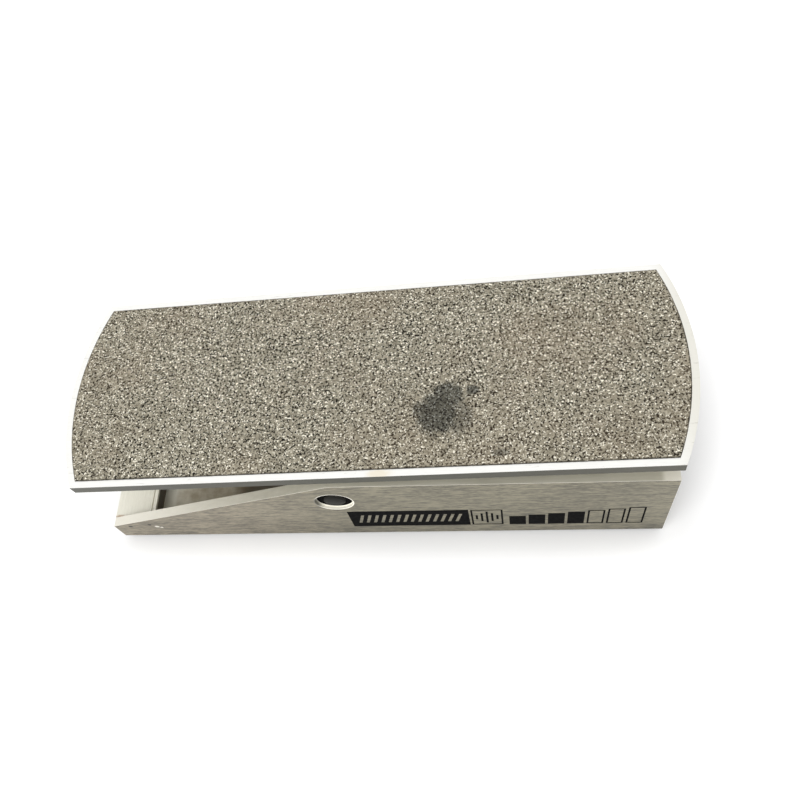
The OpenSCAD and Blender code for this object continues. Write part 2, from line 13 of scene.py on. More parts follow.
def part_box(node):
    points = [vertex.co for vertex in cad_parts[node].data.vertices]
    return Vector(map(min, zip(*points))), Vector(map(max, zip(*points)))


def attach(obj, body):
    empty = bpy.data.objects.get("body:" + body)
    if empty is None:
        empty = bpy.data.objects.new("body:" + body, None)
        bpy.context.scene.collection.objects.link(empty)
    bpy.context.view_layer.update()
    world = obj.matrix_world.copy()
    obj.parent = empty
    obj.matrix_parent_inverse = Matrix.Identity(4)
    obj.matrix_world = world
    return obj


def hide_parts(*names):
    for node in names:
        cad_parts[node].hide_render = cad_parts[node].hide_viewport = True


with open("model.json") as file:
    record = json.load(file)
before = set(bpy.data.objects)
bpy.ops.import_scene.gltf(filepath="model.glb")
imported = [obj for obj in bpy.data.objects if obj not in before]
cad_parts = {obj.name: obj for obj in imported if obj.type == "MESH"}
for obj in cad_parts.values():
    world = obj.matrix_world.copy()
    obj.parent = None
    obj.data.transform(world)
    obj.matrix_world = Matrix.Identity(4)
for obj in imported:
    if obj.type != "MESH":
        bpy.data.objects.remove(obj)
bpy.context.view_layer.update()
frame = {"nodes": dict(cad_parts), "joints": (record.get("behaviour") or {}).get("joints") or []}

MM = 0.001

# --- places worked out from the frame -------------------------------------------------------

JOINTS = {joint["name"]: joint for joint in frame["joints"]}
PIVOT = Vector(JOINTS["treadle_tilt"]["pos_m"])
REST_TILT = math.radians(-JOINTS["treadle_tilt"]["range_deg"][0])
TREADLE = Matrix.Translation(PIVOT) @ Matrix.Rotation(-REST_TILT, 4, "Y")
BASE_LOW, BASE_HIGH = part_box("base_channel")


# --- small mesh tools -----------------------------------------------------------------------

def mesh_object(name, points, faces, smooth=True):
    """A new object from points and faces, linked to the scene."""
    mesh = bpy.data.meshes.new(name)
    mesh.from_pydata([tuple(p) for p in points], [], faces)
    mesh.validate()
    mesh.update()
    for polygon in mesh.polygons:
        polygon.use_smooth = smooth
    made = bpy.data.objects.new(name, mesh)
    bpy.context.scene.collection.objects.link(made)
    return made


def add_bevel(item, width, segments=2):
    """Rounds an object's edges and keeps its flat faces flat and whole."""
    merge = item.modifiers.new("flat_merge", "DECIMATE")
    merge.decimate_type = "DISSOLVE"
    merge.angle_limit = math.radians(0.3)
    bevel = item.modifiers.new("edge_round", "BEVEL")
    bevel.width = width
    bevel.segments = segments
    bevel.limit_method = "ANGLE"
    bevel.angle_limit = math.radians(35)
    shade = item.modifiers.new("flat_shade", "WEIGHTED_NORMAL")
    shade.keep_sharp = False


def dress(node, material, bevel_mm):
    """Gives a CAD node its material and soft edges; its own points and faces stay as imported."""
    item = frame["nodes"][node]
    mesh = item.data
    mesh.materials.clear()
    mesh.materials.append(material)
    if "custom_normal" in mesh.attributes:
        mesh.attributes.remove(mesh.attributes["custom_normal"])
    for polygon in mesh.polygons:
        polygon.use_smooth = True
    weld = item.modifiers.new("weld", "WELD")
    weld.merge_threshold = 1e-6
    if bevel_mm:
        add_bevel(item, bevel_mm * MM)


# --- material tools -------------------------------------------------------------------------

class Shader:
    """A Principled material under construction. Each method returns an output socket."""

    def __init__(self, name, roughness, metallic, **sockets):
        self.material = bpy.data.materials.new(name)
        self.material.use_nodes = True
        self.nodes = self.material.node_tree.nodes
        self.links = self.material.node_tree.links
        self.bsdf = self.nodes["Principled BSDF"]
        self.set(Roughness=roughness, Metallic=metallic, **sockets)
        self.place = self.add("ShaderNodeTexCoord").outputs["Object"]
        self.normal = self.add("ShaderNodeNewGeometry").outputs["Normal"]

    def set(self, **values):
        for key, value in values.items():
            self.feed(self.bsdf.inputs[key.replace("_", " ")], value)

    def feed(self, socket, value):
        if isinstance(value, bpy.types.NodeSocket):
            self.links.new(value, socket)
        elif isinstance(value, tuple) and len(value) == 3 and socket.type == "RGBA":
            socket.default_value = (*value, 1)
        else:
            socket.default_value = value

    def add(self, kind, props=None, **inputs):
        node = self.nodes.new(kind)
        for key, value in (props or {}).items():
            setattr(node, key, value)
        for key, value in inputs.items():
            self.feed(node.inputs[key], value)
        return node

    def stretch(self, scale, offset=(0, 0, 0)):
        """Object coordinates scaled along each axis, in cycles per metre."""
        return self.add("ShaderNodeMapping", Vector=self.place, Scale=scale, Location=offset).outputs[0]

    def noise(self, scale, vector=None, detail=3.0, rough=0.55):
        vector = self.place if vector is None else vector
        node = self.add("ShaderNodeTexNoise", Vector=vector, Scale=scale, Detail=detail, Roughness=rough)
        return node.outputs["Fac"]

    def cells(self, scale, feature="F1"):
        """Distances in a field of Voronoi cells."""
        node = self.add("ShaderNodeTexVoronoi", {"feature": feature}, Vector=self.place, Scale=scale)
        return node.outputs["Distance"]

    def distance(self, point, centre):
        node = self.add("ShaderNodeVectorMath", {"operation": "DISTANCE"})
        self.feed(node.inputs[0], point)
        self.feed(node.inputs[1], tuple(centre))
        return node.outputs["Value"]

    def math(self, operation, a, b=0.0):
        node = self.add("ShaderNodeMath", {"operation": operation})
        self.feed(node.inputs[0], a)
        self.feed(node.inputs[1], b)
        return node.outputs[0]

    def remap(self, value, low, high, to_low=0.0, to_high=1.0):
        """Maps low..high to to_low..to_high with soft ends."""
        node = self.add("ShaderNodeMapRange", {"interpolation_type": "SMOOTHSTEP"})
        for key, number in (("Value", value), ("From Min", low), ("From Max", high),
                            ("To Min", to_low), ("To Max", to_high)):
            self.feed(node.inputs[key], number)
        return node.outputs["Result"]

    def mix(self, share, a, b, blend="MIX"):
        """Mixes two colours."""
        node = self.add("ShaderNodeMix", {"data_type": "RGBA", "blend_type": blend})
        self.feed(node.inputs[0], share)
        self.feed(node.inputs[6], a if isinstance(a, bpy.types.NodeSocket) else (*a, 1))
        self.feed(node.inputs[7], b if isinstance(b, bpy.types.NodeSocket) else (*b, 1))
        return node.outputs[2]

    def ramp(self, value, *stops):
        """A colour ramp through (position, colour) stops."""
        node = self.add("ShaderNodeValToRGB", Fac=value)
        elements = node.color_ramp.elements
        while len(elements) < len(stops):
            elements.new(0.5)
        for element, (position, colour) in zip(elements, stops):
            element.position = position
            element.color = (*colour, 1)
        return node.outputs["Color"]

    def axis(self, which, source=None):
        """One component of a vector, object coordinates by default."""
        source = self.place if source is None else source
        return self.add("ShaderNodeSeparateXYZ", Vector=source).outputs[which]

    def above(self, value, edge, softness):
        """0 below edge, 1 above it, with a soft step."""
        return self.remap(value, edge - softness, edge + softness)

    def near(self, centre, radii, blur, wobble=None, wobble_size=0.0):
        """1 inside an ellipsoid round a point, 0 outside, with an edge that a noise can disturb."""
        offset = self.add("ShaderNodeVectorMath", {"operation": "SUBTRACT"})
        self.feed(offset.inputs[0], self.place)
        self.feed(offset.inputs[1], tuple(centre))
        scaled = self.add("ShaderNodeVectorMath", {"operation": "DIVIDE"})
        self.feed(scaled.inputs[0], offset.outputs[0])
        self.feed(scaled.inputs[1], tuple(radii))
        length = self.add("ShaderNodeVectorMath", {"operation": "LENGTH"})
        self.feed(length.inputs[0], scaled.outputs[0])
        distance = length.outputs["Value"]
        if wobble is not None:
            shift = self.math("MULTIPLY", self.math("SUBTRACT", wobble, 0.5), wobble_size)
            distance = self.math("ADD", distance, shift)
        return self.remap(distance, 1 - blur, 1 + blur, 1.0, 0.0)

    def bump(self, height, distance, strength):
        node = self.add("ShaderNodeBump", Height=height, Distance=distance, Strength=strength)
        self.set(Normal=node.outputs["Normal"])


# --- materials ------------------------------------------------------------------------------

def brushed(name, dark, light, roughness, lengthwise=(110, 1500, 1500), contrast=(0.3, 0.72), metallic=1.0):
    """Brushed metal: fine streaks along X with slow clouding across them."""
    s = Shader(name, roughness, metallic)
    streaks = s.noise(1.0, s.stretch(lengthwise), 4.0, 0.6)
    fine = s.noise(1.0, s.stretch(tuple(3 * k for k in lengthwise)), 2.0, 0.5)
    cloud = s.noise(28.0, None, 3.0)
    grain = s.math("ADD", s.math("MULTIPLY", streaks, 0.48), s.math("MULTIPLY", fine, 0.37))
    grain = s.math("ADD", grain, s.math("MULTIPLY", cloud, 0.15))
    colour = s.ramp(grain, (contrast[0], dark), (contrast[1], light))
    s.bump(grain, 0.00008, 0.35)
    return s, grain, colour


# Nicks on the side wall near the toe: x from the pivot, z from the base's foot and radius in mm, and colour
NICK_DARK = (0.02, 0.017, 0.012)
NICK_PALE = (0.80, 0.77, 0.69)
NICKS = [(-97.5, 11.6, 0.95, NICK_DARK), (-87.9, 13.7, 0.9, NICK_DARK),
         (-85.4, 11.1, 1.0, NICK_PALE), (-83.6, 10.0, 0.7, NICK_PALE)]
# Pale colour of worn edges, also used as a painted highlight on arrises and corners
WORN_AND_HIGHLIGHT = (0.93, 0.90, 0.80)
# The round recess in the wall, its rounded edge included, lies a little toward the toe of the shaft
RECESS_SHIFT_MM = 0.2
RECESS_RADIUS_MM = 8.15


def nicked(s, colour):
    """The side wall's nicks over a colour."""
    for x, z, radius, tone in NICKS:
        centre = Vector((PIVOT.x + x * MM, BASE_LOW.y, BASE_LOW.z + z * MM))
        nick = s.near(centre, (radius * MM,) * 3, 0.2, s.noise(900.0), 0.9)
        colour = s.mix(s.math("MULTIPLY", nick, 0.95), colour, tone)
    return colour


def machined_tops(s):
    """Wall tops and ends: satin, paler toward the toe and in the last few millimetres at the heel, both as
    painted light.
    """
    satin = s.ramp(s.noise(1.0, s.stretch((60, 700, 700)), 3.0),
                   (0.3, (0.44, 0.42, 0.34)), (0.7, (0.51, 0.49, 0.41)))
    # Painted light: the heel's last few millimetres and the toe half are mixed toward a pale cream.
    heel = s.remap(s.axis("X"), BASE_HIGH.x - 7.5 * MM, BASE_HIGH.x - 5 * MM, 0.0, 0.7)
    toe = s.remap(s.axis("X"), BASE_LOW.x, PIVOT.x - 5 * MM, 0.8, 0.0)
    return s.mix(s.math("MAXIMUM", heel, toe), satin, (0.84, 0.81, 0.72))


def grime_and_painted_shade_inside(s):
    """Floor and inner faces: clean and pale behind the bar, then brown grime that also stands for painted
    shade under the treadle, and a painted shadow darkest under the knee.
    """
    grime = s.remap(s.noise(60.0, None, 5.0, 0.65), 0.36, 0.70)
    bar_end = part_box("jack_bar")[1].x
    behind_bar = s.remap(s.axis("X"), bar_end + 4.5 * MM, bar_end + 6.5 * MM)
    # Grime mixed with painted shade: the brown deeper inside stands partly for the treadle's shadow.
    grime_and_shade = s.math("MULTIPLY", behind_bar, s.math("ADD", 0.3, s.math("MULTIPLY", grime, 0.6)))
    colour = s.mix(grime_and_shade, (0.98, 0.95, 0.84), (0.36, 0.285, 0.175))
    # Painted shadow under the treadle's knee.
    knee_shadow = s.remap(s.axis("X"), PIVOT.x - 58 * MM, PIVOT.x - 46 * MM, 0.0, 0.9)
    return s.mix(knee_shadow, colour, (0.11, 0.085, 0.055))


def recess(s):
    """1 inside the round recess in the wall, and its colour: painted shade at the toe side, painted light in
    cream from there on.
    """
    radius = RECESS_RADIUS_MM * MM
    bore = s.near((PIVOT.x - RECESS_SHIFT_MM * MM, 0, PIVOT.z), (radius, 1.0, radius), 0.01)
    # Painted shade at the recess's toe side, painted light in cream beyond it.
    lit = s.remap(s.axis("X"), PIVOT.x - 8.2 * MM, PIVOT.x - 5.0 * MM)
    return bore, s.mix(lit, (0.15, 0.145, 0.115), (0.93, 0.90, 0.79))


def base_metal():
    """Channel: streaked sides lightened toward the toe by painted light, paler machined wall tops with
    painted highlights, arrises and corners brightened by wear and painted highlight, a grimy inside with
    painted shade, and a recess of painted light and shade.
    """
    s, grain, colour = brushed("base_brushed_aluminium", (0.080, 0.073, 0.051), (0.280, 0.257, 0.186), 0.42,
                               (160, 1150, 1150), (0.41, 0.59))
    half = BASE_HIGH.y
    # Painted light: the side walls are multiplied lighter toward the toe.
    painted_toe_light = s.remap(s.axis("X"), PIVOT.x - 75 * MM, PIVOT.x + 20 * MM, 1.0, 0.0)
    colour = s.mix(painted_toe_light, colour, (1.35, 1.30, 1.36), "MULTIPLY")
    side_on = s.math("ABSOLUTE", s.axis("Y", s.normal))
    up = s.axis("Z", s.normal)
    flat = s.above(up, 0.5, 0.2)
    inside = s.remap(s.math("ABSOLUTE", s.axis("Y")), half - 7 * MM, half - 4 * MM, 1.0, 0.0)
    inside = s.math("MULTIPLY", inside, s.remap(up, -0.8, -0.3))
    end_on = s.above(s.math("ABSOLUTE", s.axis("X", s.normal)), 0.6, 0.1)
    top = s.math("MULTIPLY", s.math("MAXIMUM", flat, end_on), s.math("SUBTRACT", 1.0, inside))
    colour = nicked(s, colour)
    colour = s.mix(s.math("MULTIPLY", top, 0.9), colour, machined_tops(s))
    colour = s.mix(inside, colour, grime_and_painted_shade_inside(s))
    # Arrises brightened partly by wear and partly as a painted highlight, stronger toward the pivot.
    arris = s.remap(s.math("MULTIPLY", side_on, up), 0.22, 0.42)
    wear_and_highlight_share = s.remap(s.axis("X"), PIVOT.x - 60 * MM, PIVOT.x - 5 * MM, 0.35, 0.95)
    colour = s.mix(s.math("MULTIPLY", arris, wear_and_highlight_share), colour, WORN_AND_HIGHLIGHT)
    # Painted highlight down the wall's vertical corners.
    corner = s.remap(s.math("MULTIPLY", side_on, s.math("ABSOLUTE", s.axis("X", s.normal))), 0.15, 0.4)
    colour = s.mix(s.math("MULTIPLY", corner, 0.85), colour, WORN_AND_HIGHLIGHT)
    # The recess gets painted light and shade.
    bore, bore_colour = recess(s)
    colour = s.mix(bore, colour, bore_colour)
    soft = s.math("MAXIMUM", s.math("MAXIMUM", top, inside), s.math("MAXIMUM", arris, bore))
    s.set(Base_Color=colour, Metallic=s.remap(soft, 0.0, 1.0, 0.85, 0.2),
          Roughness=s.remap(grain, 0.3, 0.7, 0.36, 0.52))
    return s.material


def bar_metal():
    """Toe bar: pale satin across the base, rust at its two ends, and painted shade over its back face below a
    top strip kept pale as a painted highlight.
    """
    s, _, colour = brushed("bar_satin_aluminium", (0.74, 0.72, 0.62), (0.88, 0.86, 0.76), 0.5,
                           (1400, 120, 1400), metallic=0.4)
    low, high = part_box("jack_bar")
    edge = s.above(s.math("ABSOLUTE", s.axis("Y")), high.y - 0.9 * MM, 0.5 * MM)
    toe_half = s.remap(s.axis("X"), low.x, low.x + 9 * MM, 1.0, 0.0)
    rust = s.math("MULTIPLY", s.math("MULTIPLY", edge, toe_half), s.remap(s.noise(500.0), 0.35, 0.6))
    colour = s.mix(s.math("MULTIPLY", rust, 0.85), colour, (0.36, 0.19, 0.09))
    # Painted shade on the face turned toward the heel, with its top strip left pale as a painted highlight.
    rear = s.above(s.axis("X", s.normal), 0.5, 0.2)
    rear = s.math("MULTIPLY", rear, s.remap(s.axis("Z"), high.z - 1.5 * MM, high.z - 0.9 * MM, 1.0, 0.0))
    colour = s.mix(rear, colour, (0.14, 0.12, 0.09))
    s.set(Base_Color=colour)
    return s.material


def treadle_metal():
    """Bright satin top with a few scuffs and one yellow scorch, and duller edges darkened by painted shade,
    less toward the heel.
    """
    s, grain, colour = brushed("treadle_satin_aluminium", (0.89, 0.885, 0.85), (0.98, 0.975, 0.945), 0.38)
    low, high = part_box("treadle_plate")
    heelward = s.remap(s.axis("X"), high.x - 14 * MM, high.x - 3 * MM)
    colour = s.mix(s.math("MULTIPLY", heelward, 0.7), colour, (0.76, 0.74, 0.66))
    facing = s.axis("Z", s.normal)
    # Painted shade: the plate's edges are darkened, a little less toward the heel.
    side = s.remap(s.math("ABSOLUTE", facing), 0.35, 0.8, 1.0, 0.0)
    painted_side_shade = s.ramp(grain, (0.3, (0.045, 0.045, 0.034)), (0.7, (0.077, 0.076, 0.057)))
    toward_heel = s.remap(s.axis("X"), 0.0, high.x)
    colour = s.mix(side, colour, s.mix(s.math("MULTIPLY", toward_heel, 0.6), painted_side_shade, (0.070, 0.065, 0.049)))
    under = s.remap(facing, -0.8, -0.3, 1.0, 0.0)
    colour = s.mix(under, colour, (0.56, 0.54, 0.47))
    scuff = s.remap(s.noise(1.0, s.stretch((160, 900, 900)), 5.0, 0.7), 0.60, 0.70)
    scuff = s.math("MULTIPLY", scuff, s.math("SUBTRACT", 1.0, side))
    colour = s.mix(s.math("MULTIPLY", scuff, 0.35), colour, (0.42, 0.40, 0.34))
    scorch_at = TREADLE @ Vector((23.0 * MM, low.y + 1.2 * MM, 23.3 * MM))
    scorch = s.near(scorch_at, (4.5 * MM, 1.6 * MM, 3 * MM), 0.5, s.noise(400.0), 0.8)
    scorch = s.math("MULTIPLY", scorch, s.math("SUBTRACT", 1.0, side))
    colour = s.mix(s.math("MULTIPLY", scorch, 0.45), colour, (0.78, 0.66, 0.42))
    s.set(Base_Color=colour, Roughness=s.remap(grain, 0.3, 0.7, 0.30, 0.46))
    return s.material


# The oily stain as overlapping blots in the treadle's frame: (x, y), (half width, half depth) in mm, strength
STAIN = [((44.5, -18.5), (8.0, 8.6), 1.0), ((48.5, -11.0), (6.2, 5.6), 0.95),
         ((39.0, -16.5), (4.0, 4.0), 0.8), ((52.5, -20.5), (5.2, 6.4), 0.62),
         ((58.0, -9.2), (2.5, 2.1), 0.95), ((68.0, -36.0), (3.4, 1.4), 0.65)]
TAPE_MIDDLE_Z_MM = 23.5
CUT_EDGE_MM = 0.45


def stain_mask(s, ragged):
    """1 where the tape is stained, with ragged edges."""
    stain = None
    for (x, y), (width, depth), strength in STAIN:
        centre = (x * MM, y * MM, TAPE_MIDDLE_Z_MM * MM)
        spot = s.near(centre, (width * MM, depth * MM, 1.0), 0.26, ragged, 1.0)
        spot = s.math("MULTIPLY", spot, strength)
        stain = spot if stain is None else s.math("MAXIMUM", stain, spot)
    return stain


def cut_edge_mask(s, half, toe, heel, ragged):
    """1 along the tape's straight sides and curved ends."""
    cut = s.above(s.math("ABSOLUTE", s.axis("Y")), half - CUT_EDGE_MM * MM, 0.2 * MM)
    for tip, corner in (toe, heel):
        radius = arc_radius(half, tip, corner)
        in_plan = s.add("ShaderNodeCombineXYZ", X=s.axis("X"), Y=s.axis("Y")).outputs[0]
        reach = s.distance(in_plan, (tip - math.copysign(radius, tip), 0, 0))
        this_end = s.above(s.math("MULTIPLY", s.axis("X"), math.copysign(1, tip)), abs(corner) - 5 * MM, MM)
        end_cut = s.math("MULTIPLY", s.above(reach, radius - CUT_EDGE_MM * MM, 0.2 * MM), this_end)
        cut = s.math("MAXIMUM", cut, end_cut)
    return s.math("MULTIPLY", cut, s.remap(ragged, 0.35, 0.6, 0.45, 0.9))


def grit(half, toe, heel):
    """Mineral grit in resin: even beige, dark pits and pale grains that are partly painted shade and
    highlight, painted shade on slopes, one oily stain, a dark cut edge.
    """
    s = Shader("grit_tape_surface", 0.82, 0.0, Specular_IOR_Level=0.12)
    mottle = s.noise(700.0, None, 3.0, 0.6)
    colour = s.ramp(mottle, (0.32, (0.150, 0.136, 0.100)), (0.5, (0.265, 0.243, 0.184)),
                    (0.68, (0.40, 0.37, 0.29)))
    # Pale grains: partly the grit's own tone, partly a painted highlight on the grains.
    pale = s.remap(s.noise(1400.0, s.stretch((1, 1, 1), (0.037, 0.013, 0.0)), 2.0, 0.5), 0.585, 0.635)
    colour = s.mix(pale, colour, (0.90, 0.86, 0.73))
    # Dark pits: partly the grit's own tone, partly painted shade in its hollows.
    pits = s.remap(s.noise(1250.0, None, 2.0, 0.5), 0.41, 0.455, 1.0, 0.0)
    colour = s.mix(pits, colour, (0.008, 0.007, 0.005))
    cloud = s.noise(22.0, None, 4.0, 0.6)
    colour = s.mix(s.remap(cloud, 0.40, 0.72, 0.0, 0.16), colour, (0.30, 0.215, 0.14))
    ragged = s.noise(300.0, None, 4.0, 0.65)
    stain = stain_mask(s, ragged)
    colour = s.mix(s.math("MULTIPLY", stain, 0.95), colour, (0.28, 0.30, 0.315), "MULTIPLY")
    # Painted shade on slopes in the grit and on the tape's side walls, mixed with the darker cut edge.
    steep_shade = s.remap(s.axis("Z", s.normal), 0.45, 0.80, 1.0, 0.0)
    cut = cut_edge_mask(s, half, toe, heel, ragged)
    colour = s.mix(s.math("MAXIMUM", steep_shade, cut), colour, (0.03, 0.027, 0.02))
    s.set(Base_Color=colour, Roughness=s.remap(stain, 0.0, 1.0, 0.86, 0.62))
    s.bump(s.math("SUBTRACT", s.math("ADD", mottle, pale), pits), 0.00015, 0.6)
    return s.material


def moulded(name, colour, roughness, dusty, scale=900.0, specular=0.4):
    """Moulded plastic or rubber with a fine pebble and a little dust."""
    s = Shader(name, roughness, 0.0, Specular_IOR_Level=specular)
    pebble = s.noise(scale, None, 3.0)
    dust = s.remap(s.noise(45.0, None, 4.0, 0.6), 0.45, 0.75, 0.0, 0.35)
    s.set(Base_Color=s.mix(dust, colour, dusty),
          Roughness=s.remap(pebble, 0.3, 0.7, roughness - 0.08, roughness + 0.1))
    s.bump(pebble, 0.00006, 0.4)
    return s.material


def metal(name, dark, light, roughness, lengthwise=(500, 500, 500)):
    """Plated or turned metal with fine grain and uneven tone."""
    s, grain, colour = brushed(name, dark, light, roughness, lengthwise)
    s.set(Base_Color=colour, Roughness=s.remap(grain, 0.3, 0.7, roughness - 0.06, roughness + 0.08))
    return s.material


def shaft_metal():
    """Blackened steel whose turned end shows fine rings."""
    s = Shader("shaft_blackened_steel", 0.5, 0.0, Specular_IOR_Level=0.06)
    flat = s.add("ShaderNodeVectorMath", {"operation": "MULTIPLY"})
    s.feed(flat.inputs[0], s.place)
    s.feed(flat.inputs[1], (1, 0, 1))
    radius = s.distance(flat.outputs[0], (PIVOT.x, 0, PIVOT.z))
    along_radius = s.add("ShaderNodeCombineXYZ", X=s.math("MULTIPLY", radius, 2600)).outputs[0]
    rings = s.noise(1.0, along_radius)
    s.set(Base_Color=s.ramp(rings, (0.3, (0.009, 0.009, 0.008)), (0.75, (0.024, 0.023, 0.020))))
    s.bump(rings, 0.00005, 0.4)
    return s.material


def jack_finish():
    """Black moulded body, nickel bushing in front of it and tinned lugs behind it."""
    s = Shader("jack_black_and_nickel", 0.35, 0.0)
    low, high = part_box("input_jack")
    bushing = s.above(s.axis("X"), low.x + 12.6 * MM, 0.05 * MM)
    tail = s.above(s.axis("X"), high.x - 4 * MM, 0.05 * MM)
    bare = s.math("MAXIMUM", s.math("SUBTRACT", 1.0, bushing), tail)
    threads = s.math("SINE", s.math("MULTIPLY", s.axis("X"), 2 * math.pi / (0.8 * MM)))
    tone = s.noise(600.0)
    s.set(Base_Color=s.mix(bare, s.ramp(tone, (0.3, (0.012, 0.012, 0.012)), (0.7, (0.028, 0.028, 0.028))),
                           (0.62, 0.60, 0.55)),
          Metallic=bare, Roughness=s.remap(tone, 0.3, 0.7, 0.28, 0.42))
    s.bump(s.math("MULTIPLY", threads, s.math("SUBTRACT", 1.0, bushing)), 0.00012, 0.7)
    return s.material


def pot_finish():
    """Pressed can with a nickel threaded bushing and pale phenolic at its lugs."""
    s = Shader("pot_pressed_can", 0.34, 1.0)
    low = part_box("potentiometer")[0]
    y = s.axis("Y")
    wafer = s.math("MULTIPLY", s.above(y, low.y + 7.2 * MM, 0.05 * MM),
                   s.remap(y, low.y + 8.2 * MM, low.y + 8.3 * MM, 1.0, 0.0))
    tone = s.noise(260.0, None, 4.0, 0.6)
    can = s.ramp(tone, (0.3, (0.42, 0.41, 0.37)), (0.7, (0.60, 0.59, 0.54)))
    s.set(Base_Color=s.mix(wafer, can, (0.33, 0.16, 0.06)),
          Metallic=s.math("SUBTRACT", 1.0, wafer), Roughness=s.remap(tone, 0.3, 0.7, 0.26, 0.42))
    threads = s.math("SINE", s.math("MULTIPLY", y, 2 * math.pi / (0.75 * MM)))
    s.bump(s.math("MULTIPLY", threads, s.remap(y, low.y + 6 * MM, low.y + 6.4 * MM, 1.0, 0.0)), 0.00012, 0.7)
    return s.material


def board_finish():
    """Green solder mask over copper traces, with tinned pads."""
    s = Shader("board_solder_mask", 0.32, 0.0)
    weave = s.noise(1400.0, None, 2.0)
    trace = s.remap(s.cells(170.0, feature="DISTANCE_TO_EDGE"), 0.05, 0.075, 1.0, 0.0)
    mask = s.ramp(weave, (0.3, (0.012, 0.085, 0.03)), (0.7, (0.022, 0.125, 0.045)))
    colour = s.mix(trace, mask, (0.045, 0.20, 0.07))
    pads = s.remap(s.cells(150.0), 0.16, 0.19, 1.0, 0.0)
    s.set(Base_Color=s.mix(pads, colour, (0.62, 0.60, 0.55)), Metallic=pads,
          Roughness=s.remap(weave, 0.3, 0.7, 0.24, 0.38))
    s.bump(trace, 0.00004, 0.5)
    return s.material


def cord_finish():
    """Pale fibre cord with a diagonal twist."""
    s = Shader("cord_twisted_fibre", 0.85, 0.0)
    diagonal = s.math("ADD", s.math("ADD", s.axis("X"), s.axis("Z")), s.axis("Y"))
    twist = s.math("SINE", s.math("MULTIPLY", diagonal, 9000))
    s.set(Base_Color=s.ramp(s.math("ADD", s.math("MULTIPLY", twist, 0.5), 0.5),
                            (0.0, (0.42, 0.38, 0.28)), (0.6, (0.78, 0.75, 0.64))))
    s.bump(twist, 0.00008, 0.6)
    return s.material


def print_ink():
    """Screen-printed black, thin in places so that the brushed metal's tone shows through."""
    s = Shader("print_black_ink", 0.5, 0.0, Specular_IOR_Level=0.01)
    wear = s.remap(s.noise(1.0, s.stretch((420, 1500, 1500)), 4.0, 0.65), 0.66, 0.78)
    s.set(Base_Color=s.mix(s.math("MULTIPLY", wear, 0.35), (0.003, 0.003, 0.003), (0.14, 0.13, 0.10)),
          Roughness=s.remap(s.noise(700.0), 0.3, 0.7, 0.45, 0.6))
    return s.material


RUBBER = moulded("rubber_black", (0.022, 0.022, 0.021), 0.8, (0.10, 0.095, 0.085))
BLACK = moulded("plastic_black", (0.006, 0.006, 0.006), 0.55, (0.02, 0.02, 0.019), specular=0.25)
BUSHING = moulded("bushing_acetal_black", (0.002, 0.002, 0.002), 0.6, (0.006, 0.006, 0.005), specular=0.01)
NYLON = moulded("nylon_natural", (0.66, 0.62, 0.50), 0.5, (0.46, 0.42, 0.32))
JACKET = moulded("cable_jacket", (0.02, 0.02, 0.022), 0.55, (0.06, 0.06, 0.06), 500.0)
PLATED = metal("steel_zinc_plated", (0.40, 0.39, 0.35), (0.62, 0.61, 0.56), 0.38)
NICKEL = metal("nickel_polished", (0.62, 0.60, 0.56), (0.78, 0.77, 0.73), 0.2)
BRASS = metal("brass_turned", (0.48, 0.33, 0.11), (0.70, 0.52, 0.22), 0.3)
TURNED = metal("aluminium_turned", (0.46, 0.45, 0.42), (0.66, 0.65, 0.61), 0.34, (900, 900, 140))
SPRING = metal("spring_steel_wire", (0.42, 0.42, 0.40), (0.62, 0.62, 0.60), 0.28)
DARK_STEEL = metal("steel_blackened", (0.03, 0.03, 0.028), (0.085, 0.082, 0.076), 0.42)
INK = print_ink()


def dress_cad_nodes():
    """Every CAD node's material and edge rounding."""
    plain = {
        "base_channel": (base_metal(), 0.45), "jack_bar": (bar_metal(), 0.25),
        "treadle_plate": (treadle_metal(), 0.3), "rubber_feet": (RUBBER, 0.5),
        "heel_bumpers": (RUBBER, 0), "toe_bumpers": (RUBBER, 0),
        "left_bushing": (BUSHING, 0.2), "right_bushing": (BUSHING, 0.2), "taper_switch": (BLACK, 0.15),
        "pivot_shaft": (shaft_metal(), 0), "shaft_set_screws": (DARK_STEEL, 0.1),
        "collar_screw": (DARK_STEEL, 0.05),
        "left_lug": (PLATED, 0.3), "right_lug": (PLATED, 0.3), "drive_sector": (PLATED, 0.15),
        "pot_bracket": (PLATED, 0.25), "pot_washer": (PLATED, 0.1), "jack_washers": (PLATED, 0.1),
        "bar_screws": (PLATED, 0.25), "board_screws": (PLATED, 0.15), "bracket_screws": (PLATED, 0.25),
        "post_screws": (PLATED, 0.3), "lug_screws": (PLATED, 0.1), "sector_screws": (PLATED, 0.1),
        "cord_anchors": (PLATED, 0.15), "heel_posts": (TURNED, 0.3), "pot_shaft": (TURNED, 0.15),
        "jack_nuts": (NICKEL, 0.25), "switch_nut": (NICKEL, 0.15), "pot_nut": (NICKEL, 0.25),
        "switch_lever": (NICKEL, 0.1), "shaft_collar": (BRASS, 0.25), "board_standoffs": (BRASS, 0.15),
        "potentiometer": (pot_finish(), 0.3), "circuit_board": (board_finish(), 0.08),
        "friction_washers": (NYLON, 0.12), "loom_connector": (NYLON, 0.2), "wire_loom": (JACKET, 0),
        "cord_spring": (SPRING, 0),
    }
    for node, (material, bevel_mm) in plain.items():
        dress(node, material, bevel_mm)
    finish = jack_finish()
    for node in ("input_jack", "output_jack"):
        dress(node, finish, 0.15)
    cord = cord_finish()
    for node in ("drive_cord", "cord_wrap"):
        dress(node, cord, 0)


# --- grip tape ------------------------------------------------------------------------------

GRAIN_MM = 0.5
GRIT_DEPTH_MM = 0.42
RAGGED_MM = 0.06


